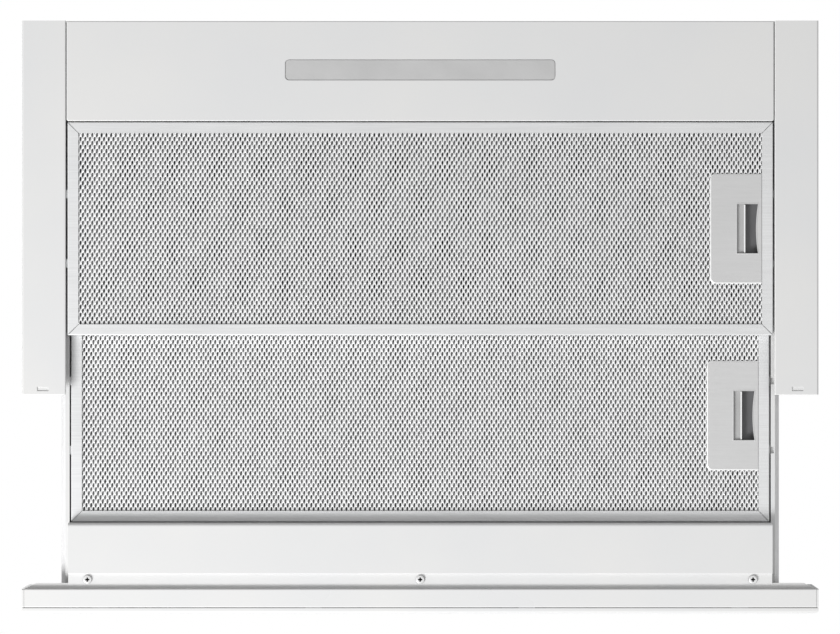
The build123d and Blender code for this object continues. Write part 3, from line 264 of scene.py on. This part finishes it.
def rolled_sheet(name, colour, rough):
    """Galvanised sheet: crystal flakes of slightly different grey and gloss under fine rolling lines."""
    m = Material(name)
    flakes = m.add("ShaderNodeTexVoronoi", Vector=m.place(), Scale=95.0, Randomness=1.0)
    shade = m.remap(flakes.outputs["Color"], WHOLE_BAND)
    lines = m.noise(scale=240.0, detail=4.0, rough=0.6, stretch=ROLLED)
    dark, light = (scaled(colour, factor) for factor in ZINC_SHADES)
    m.set(Base_Color=m.blend(shade, dark, light), Metallic=0.6)
    m.set(Roughness=m.remap(shade, WHOLE_BAND, around(rough, below=0.08, above=0.10)))
    m.set(Normal=m.bump(lines, strength=0.12, depth=0.05 * MM))
    return m.made


def brushed_metal(name, colour, rough, along=EVEN, strength=0.1, metallic=0.4):
    """Metal with fine scratches, long where along says so, and soft changes of gloss."""
    m = Material(name)
    lines = m.noise(scale=900.0, detail=5.0, rough=0.65, stretch=along)
    clouds = m.noise(scale=14.0, detail=2.0)
    dark, light = (scaled(colour, factor) for factor in METAL_SHADES)
    m.set(Base_Color=m.blend(m.remap(lines, GLOSS_BAND), dark, light), Metallic=metallic)
    m.set(Roughness=m.remap(clouds, GLOSS_BAND, around(rough, below=0.05, above=0.07)))
    m.set(Normal=m.bump(lines, strength, depth=0.04 * MM))
    return m.made


def moulded_plastic(name, colour, rough, strength=0.18, coat=0.0):
    """Moulded plastic with an eroded texture and slightly uneven gloss."""
    m = Material(name)
    fine = m.noise(scale=900.0, detail=3.0, rough=0.6)
    clouds = m.noise(scale=25.0, detail=2.0)
    dark = scaled(colour, PLASTIC_SHADES[0])
    light = scaled(colour, PLASTIC_SHADES[1], PLASTIC_LIFT)
    m.set(Base_Color=m.blend(m.remap(clouds, SHADE_BAND), dark, light))
    m.set(Roughness=m.remap(fine, GRAIN_BAND, around(rough, below=0.06, above=0.08)))
    m.set(Normal=m.bump(fine, strength, depth=0.06 * MM))
    m.set(Coat_Weight=coat, Coat_Roughness=0.1)
    return m.made


def latch_plate_finish(name, underside):
    """A satin plate with a painted highlight on its bevel, and higher up painted shade on the walls of its
    finger well, which are also made not metallic.
    """
    m = Material(name)
    lines = m.noise(scale=700.0, detail=3.0, rough=0.6, stretch=PLATE_BRUSHED)
    clouds = m.noise(scale=18.0, detail=2.0)
    bevel = m.height_above(underside, PLATE_BEVEL_HIGHLIGHT_HEIGHTS)
    inside = m.height_above(underside, PLATE_WELL_SHADE_HEIGHTS)
    satin = m.blend(m.remap(lines, GLOSS_BAND), *map(grey, PLATE_SATIN))
    # A painted highlight on the bevel
    metal = m.blend(bevel, satin, grey(PLATE_BEVEL_HIGHLIGHT_GREY))
    # Painted shade on the walls of the finger well
    m.set(Base_Color=m.blend(inside, metal, PLATE_WELL_SHADE_COLOUR))
    m.set(Metallic=m.remap(inside, WHOLE_BAND, PLATE_METALLIC))
    m.set(Roughness=m.remap(clouds, GLOSS_BAND, PLATE_ROUGH))
    m.set(Normal=m.bump(lines, strength=0.05, depth=0.03 * MM))
    return m.made


def latch_slider_finish(name, underside):
    """Grey plastic with a painted highlight on the rib that stands lowest."""
    m = Material(name)
    fine = m.noise(scale=900.0, detail=3.0, rough=0.6)
    clouds = m.noise(scale=25.0, detail=2.0)
    body = m.blend(m.remap(clouds, SHADE_BAND), *map(grey, SLIDER_GREYS))
    above_rib_highlight = m.height_above(underside, SLIDER_RIB_HIGHLIGHT_HEIGHTS)
    # A painted highlight on the lowest rib
    m.set(Base_Color=m.blend(above_rib_highlight, grey(SLIDER_RIB_HIGHLIGHT_GREY), body))
    m.set(Roughness=m.remap(fine, GRAIN_BAND, SLIDER_ROUGH))
    m.set(Normal=m.bump(fine, strength=0.15, depth=0.05 * MM))
    return m.made


def screw_finish(name, underside):
    """Zinc plated steel, with painted shade in the cross recess."""
    m = Material(name)
    lines = m.noise(scale=900.0, detail=5.0, rough=0.65)
    recess = m.height_above(underside, SCREW_RECESS_SHADE_HEIGHTS)
    head = m.blend(m.remap(lines, GLOSS_BAND), *map(grey, SCREW_GREYS))
    # Painted shade in the cross recess
    m.set(Base_Color=m.blend(recess, head, grey(SCREW_RECESS_SHADE_GREY)), Metallic=0.35)
    m.set(Roughness=m.remap(lines, GLOSS_BAND, SCREW_ROUGH))
    m.set(Normal=m.bump(lines, strength=0.1, depth=0.04 * MM))
    return m.made


def opal_lens(name):
    """A frosted diffuser: pale, a little soft inside, with fine pyramids that scatter the light."""
    m = Material(name)
    cells = m.add("ShaderNodeTexVoronoi", Vector=m.place(), Scale=620.0, Randomness=0.15)
    pyramids = cells.outputs["Distance"]
    clouds = m.noise(scale=40.0, detail=2.0)
    m.set(Base_Color=m.blend(m.remap(clouds, GLOSS_BAND), *map(grey, LENS_GREYS)))
    m.set(Roughness=m.remap(pyramids, PYRAMID_BAND, LENS_ROUGH))
    m.set(Normal=m.bump(pyramids, strength=0.12, depth=0.08 * MM))
    m.set(Subsurface_Weight=0.25, Subsurface_Scale=2.0 * MM, Subsurface_Radius=EVEN)
    m.set(Coat_Weight=0.2, Coat_Roughness=0.2)
    return m.made


def circuit_board(name):
    """White solder mask with faint tracks and pads."""
    m = Material(name)
    tracks = m.add("ShaderNodeTexBrick", Vector=m.place(), Scale=120.0, **BOARD_COLOURS)
    m.set(Base_Color=tracks.outputs["Color"], Roughness=0.4)
    m.set(Normal=m.bump(tracks.outputs["Fac"], strength=0.2, depth=0.05 * MM))
    return m.made


# The finish of each material slot, and of the mesh inside the filters, as its maker and its own values
FINISHES = {
    "white_paint": (powder_coat, {"colour": grey(0.70)}),
    "facia_paint": (powder_coat, {"colour": grey(0.72), "rough": 0.30, "grain": 0.6}),
    "zinc_sheet": (rolled_sheet, {"colour": (0.56, 0.57, 0.585), "rough": 0.52}),
    "slide_steel": (
        brushed_metal, {"colour": (0.88, 0.88, 0.885), "rough": 0.40, "along": ALONG_Y, "metallic": 0.35}
    ),
    "filter_aluminium": (
        brushed_metal, {"colour": (0.77, 0.775, 0.78), "rough": 0.5, "along": ALONG_X, "strength": 0.04}
    ),
    "filter_mesh": (brushed_metal, {"colour": (0.89, 0.892, 0.895), "rough": 0.42}),
    # The core mesh's dark grey is painted shade for the depth inside the filter, not the colour of its
    # aluminium
    "inner_mesh": (brushed_metal, {"colour": (0.30, 0.30, 0.305), "rough": 0.5}),
    "screw_steel": (brushed_metal, {"colour": (0.84, 0.84, 0.835), "rough": 0.32, "metallic": 0.5}),
    "spring_steel": (
        brushed_metal, {"colour": (0.56, 0.56, 0.57), "rough": 0.3, "strength": 0.16, "metallic": 1.0}
    ),
    "lens": (opal_lens, {}),
    "light_box": (powder_coat, {"colour": grey(0.82)}),
    "circuit_board": (circuit_board, {}),
    "driver_case": (moulded_plastic, {"colour": (0.72, 0.72, 0.70), "rough": 0.48}),
    "blower_plastic": (moulded_plastic, {"colour": (0.030, 0.030, 0.032), "rough": 0.52}),
    "impeller_plastic": (moulded_plastic, {"colour": (0.045, 0.045, 0.05), "rough": 0.5}),
    "motor_shell": (
        brushed_metal,
        {"colour": (0.50, 0.51, 0.53), "rough": 0.36, "along": ALONG_X, "strength": 0.16, "metallic": 1.0},
    ),
    "collar_plastic": (moulded_plastic, {"colour": (0.028, 0.028, 0.030), "rough": 0.5}),
    "bezel_plastic": (moulded_plastic, {"colour": grey(0.56), "rough": 0.34, "coat": 0.25}),
    "button_plastic": (
        moulded_plastic, {"colour": grey(0.80), "rough": 0.26, "strength": 0.06, "coat": 0.4}
    ),
    "switch_plastic": (moulded_plastic, {"colour": (0.04, 0.04, 0.043), "rough": 0.45}),
    "capacitor_case": (moulded_plastic, {"colour": (0.74, 0.73, 0.70), "rough": 0.4}),
    "terminal_plastic": (moulded_plastic, {"colour": (0.66, 0.66, 0.64), "rough": 0.46}),
    "gland_plastic": (moulded_plastic, {"colour": (0.05, 0.05, 0.05), "rough": 0.42}),
}
MATERIALS = {name: make(name, **values) for name, (make, values) in FINISHES.items()}

# Nodes with a finish of their own, which changes with the height above the node's lowest point and holds
# painted highlights and painted shade
FINISHES_BY_HEIGHT = {
    "rear_latch_plate": latch_plate_finish,
    "front_latch_plate": latch_plate_finish,
    "rear_latch_slider": latch_slider_finish,
    "front_latch_slider": latch_slider_finish,
    "facia_screws": screw_finish,
}


def finish_cad_nodes():
    """Give every CAD node its own finish where it has one, and otherwise the material of its slot."""
    for part in frame["record"]["subparts"]:
        node = part["node"]
        if node in FINISHES_BY_HEIGHT:
            finish = FINISHES_BY_HEIGHT[node](f"{node}_finish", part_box(node)[0].z)
        else:
            finish = MATERIALS[part["material_slot"]]
        slots = NODES[node].data.materials
        slots.clear()
        slots.append(finish)


# ---------------------------------------------------------------- expanded metal


def lattice(low, high, pitch, skip):
    """The cell centres of a staggered lattice that fills a rectangle, without those in skip."""
    columns = int(round((high[0] - low[0]) / pitch[0])) + 1
    rows = int(round((high[1] - low[1]) / (pitch[1] / 2))) + 1
    start_x = (low[0] + high[0] - (columns - 0.5) * pitch[0]) / 2
    start_y = (low[1] + high[1] - (rows - 1) * pitch[1] / 2) / 2
    row, column = np.meshgrid(np.arange(rows), np.arange(columns), indexing="ij")
    xs = start_x + (column + 0.5 * (row % 2)) * pitch[0]
    ys = start_y + row * pitch[1] / 2
    centres = np.stack([xs.ravel(), ys.ravel()], axis=1)
    skip_low, skip_high = skip
    hidden = (centres > skip_low).all(axis=1) & (centres < skip_high).all(axis=1)
    return centres[~hidden]


def cell_outline(pitch, sides):
    """The four knots of a cell, and with eight sides the middle of each strand between them."""
    knots = np.array([(pitch[0] / 2, 0), (0, pitch[1] / 2), (-pitch[0] / 2, 0), (0, -pitch[1] / 2)])
    if sides == len(knots):
        return knots
    middles = (knots + np.roll(knots, -1, axis=0)) / 2
    return np.stack([knots, middles], axis=1).reshape(sides, 2)


def hole_outline(width, height, slant, sides):
    """The points round a slanted hole, in step with a cell's outline."""
    turns = np.arange(sides) * 2 * math.pi / sides
    across, up = np.cos(turns) * width / 2, np.sin(turns) * height / 2
    return np.stack([across + slant * up, up], axis=1)


def joined(points):
    """The points left when those in the same place are made one, and each old point's new number."""
    keys = np.round(points * JOIN_STEPS).astype(np.int64)
    _, first, numbers = np.unique(keys, axis=0, return_index=True, return_inverse=True)
    return points[first], numbers.reshape(-1)


def expanded_metal(name, body, centres, z, pitch, hole, finish, drops=None):
    """A closed sheet with one hole in each cell. drops holds how far the knots, the strands that
    lean to -X and those that lean to +X stand below the sheet, which gives it its woven look.
    Without drops the sheet is flat and its holes have four sides.
    """
    sides = 8 if drops else 4
    outer, inner = cell_outline(pitch, sides), hole_outline(*hole, sides)
    depth = np.zeros(sides)
    if drops:
        knot, to_left, to_right = drops
        depth = np.array([knot, to_left, knot, to_right] * 2)
    count = len(centres)
    spread = np.random.default_rng(HOLE_SEED).uniform(*HOLE_SPREAD, (count, 1, 1))
    border = (centres[:, None] + outer[None]).reshape(-1, 2)
    rim = (centres[:, None] + inner[None] * spread).reshape(-1, 2)
    low_z, high_z = z - np.tile(depth, count), np.full(count * sides, z + METAL)
    under, under_of = joined(np.column_stack([border, low_z]))
    over, over_of = joined(np.column_stack([border, high_z]))
    rim_under = np.column_stack([rim, np.full(count * sides, z)])
    rim_over = np.column_stack([rim, high_z])
    points = np.concatenate([under, over, rim_under, rim_over])
    a = under_of
    b = len(under) + over_of
    c = len(under) + len(over) + np.arange(count * sides)
    d = c + count * sides

    def after(numbers):
        return np.roll(numbers.reshape(-1, sides), -1, axis=1).reshape(-1)

    faces = np.concatenate([
        np.stack([a, c, after(c), after(a)], axis=1),
        np.stack([c, d, after(d), after(c)], axis=1),
        np.stack([d, b, after(b), after(d)], axis=1),
    ])
    mesh = bpy.data.meshes.new(name)
    mesh.from_pydata(points.tolist(), [], faces.tolist())
    mesh.polygons.foreach_set("use_smooth", np.ones(len(faces), dtype=bool))
    mesh.materials.append(MATERIALS[finish])
    sheet = bpy.data.objects.new(name, mesh)
    bpy.context.scene.collection.objects.link(sheet)
    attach(sheet, body)
    return sheet


def filter_layers(word):
    """The open layers of one grease filter: the face in two halves, a coarser core and the back."""
    body = f"{word}_filter"
    low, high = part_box(f"{word}_filter_face_mesh")
    plate_low, plate_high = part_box(f"{word}_latch_plate")
    left, right = low.x + FRAME_COVER, high.x - FRAME_COVER
    front, rear = low.y + FRAME_COVER, high.y - FRAME_COVER
    behind_plate = (
        (left - BEYOND, plate_low.y + PLATE_LAP),
        (plate_high.x - PLATE_LAP, plate_high.y - PLATE_LAP),
    )

    face = lattice((left, front), (right, rear), FACE_PITCH, behind_plate)
    face_z = low.z + FACE_Z
    for side, centres in (("left", face[face[:, 0] < 0]), ("right", face[face[:, 0] >= 0])):
        name = f"{word}_filter_face_{side}"
        piece = expanded_metal(
            name, body, centres, face_z, FACE_PITCH, FACE_HOLE, "filter_mesh", drops=FACE_DROPS
        )
        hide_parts(f"{word}_filter_face_mesh")

    inner = lattice((left, front), (right, rear), CORE_PITCH, behind_plate)
    core_z = low.z + CORE_Z
    # The core takes the dark inner mesh, which is painted shade
    expanded_metal(f"{word}_filter_core", body, inner, core_z, CORE_PITCH, CORE_HOLE, "inner_mesh")
    back_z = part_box(f"{word}_filter_back_mesh")[0].z + BACK_Z
    back = expanded_metal(f"{word}_filter_back", body, inner, back_z, CORE_PITCH, CORE_HOLE, "filter_mesh")
    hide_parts(f"{word}_filter_back_mesh")


# ---------------------------------------------------------------- camera, stage and light


def add_camera():
    """A long lens straight below the hood, with the wall side at the top of the picture."""
    data = bpy.data.cameras.new("camera")
    data.sensor_width = SENSOR
    data.lens = SENSOR * CAMERA_BELOW / VIEW_WIDTH
    data.clip_end = CLIP_END
    camera = bpy.data.objects.new("camera", data)
    camera.location = (CAMERA_X, 0.0, -CAMERA_BELOW)
    camera.rotation_euler = (0.0, math.pi, 0.0)
    bpy.context.scene.collection.objects.link(camera)
    bpy.context.scene.camera = camera


def add_light(name, place, size, power):
    """A square soft box at a place, turned to the origin."""
    data = bpy.data.lights.new(name, "AREA")
    data.size = size
    data.energy = power
    lamp = bpy.data.objects.new(name, data)
    lamp.location = place
    lamp.rotation_euler = (-Vector(place)).to_track_quat("-Z", "Y").to_euler()
    bpy.context.scene.collection.objects.link(lamp)


def add_floor():
    """A pale floor far below, which isn't part of the object."""
    half = FLOOR_SIZE / 2
    corners = [(-half, -half), (half, -half), (half, half), (-half, half)]
    mesh = bpy.data.meshes.new("floor")
    mesh.from_pydata([(x, y, FLOOR_Z) for x, y in corners], [], [(0, 1, 2, 3)])
    floor_finish = Material("floor_finish")
    floor_finish.set(Base_Color=grey(FLOOR_GREY), Roughness=FLOOR_ROUGH)
    mesh.materials.append(floor_finish.made)
    floor = bpy.data.objects.new("floor", mesh)
    bpy.context.scene.collection.objects.link(floor)


def add_surround():
    """A white surround that is dimmer as a light than as a background."""
    world = bpy.data.worlds.new("surround")
    bpy.context.scene.world = world
    world.use_nodes = True
    tree = world.node_tree
    shade = tree.nodes["Background"]
    shade.inputs["Color"].default_value = (*grey(1.0), 1.0)
    path = tree.nodes.new("ShaderNodeLightPath")
    strength = tree.nodes.new("ShaderNodeMapRange")
    strength.inputs["To Min"].default_value = AMBIENT
    strength.inputs["To Max"].default_value = BACKGROUND
    tree.links.new(path.outputs["Is Camera Ray"], strength.inputs["Value"])
    tree.links.new(strength.outputs["Result"], shade.inputs["Strength"])


finish_cad_nodes()
for word in ("rear", "front"):
    filter_layers(word)
add_camera()
add_floor()
add_surround()
for name, (place, size, power) in LIGHTS.items():
    add_light(name, place, size, power)
bpy.context.scene.view_settings.view_transform = "Standard"
